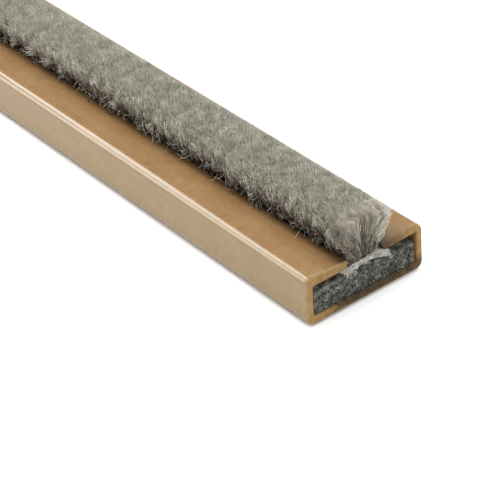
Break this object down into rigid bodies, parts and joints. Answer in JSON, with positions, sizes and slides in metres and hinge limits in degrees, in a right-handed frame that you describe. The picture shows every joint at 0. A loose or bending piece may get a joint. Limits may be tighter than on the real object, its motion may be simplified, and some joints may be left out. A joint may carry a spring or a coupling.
{
  "type": "brush smoke seal",
  "caption": "Short cut length of door-edge seal: slotted C-shaped casing with an intumescent core, a dense pile brush and a self-adhesive back.",
  "frame": {"origin": "middle of the back, on the release liner's outer face", "axes": "+X along the strip towards the end that is drawn from, +Z from the back towards the pile, +Y across"},
  "size_m": [0.08, 0.01, 0.0069],
  "materials": {
    "casing": "brown rigid PVC, satin, with fine lengthwise extrusion lines",
    "core": "dark grey fibrous intumescent compound, matte and speckled",
    "backing": "pale grey woven polypropylene tape with a coated back",
    "pile": "grey polypropylene pile, cut level, slightly shiny fibres",
    "tape": "translucent white acrylic adhesive on a thin carrier",
    "liner": "glassine release paper, off-white, smooth"
  },
  "bodies": {
    "casing": {"casing": "casing", "adhesive_tape": "tape"},
    "core": {"intumescent_core": "core"},
    "pile_strip": {"pile_backing": "backing"},
    "pile": {"pile_row_1": "pile", "pile_row_2": "pile", "pile_row_3": "pile", "pile_row_4": "pile"},
    "liner": {"release_liner": "liner"}
  },
  "joints": [
    {"name": "core_slide", "type": "slide", "parent": "casing", "child": "core", "axis": [1, 0, 0], "range_m": [0, 0.06]},
    {"name": "pile_strip_slide", "type": "slide", "parent": "casing", "child": "pile_strip", "axis": [1, 0, 0], "range_m": [0, 0.06]},
    {"name": "pile_lean", "type": "hinge", "parent": "pile_strip", "child": "pile", "pos_m": [0, 0, 0.00315], "axis": [1, 0, 0], "range_deg": [-20, 20], "stiffness_Nm_per_rad": 0.0015},
    {"name": "liner_peel", "type": "hinge", "parent": "casing", "child": "liner", "pos_m": [-0.04, 0, 0.00007], "axis": [0, 1, 0], "range_deg": [0, 15]}
  ]
}
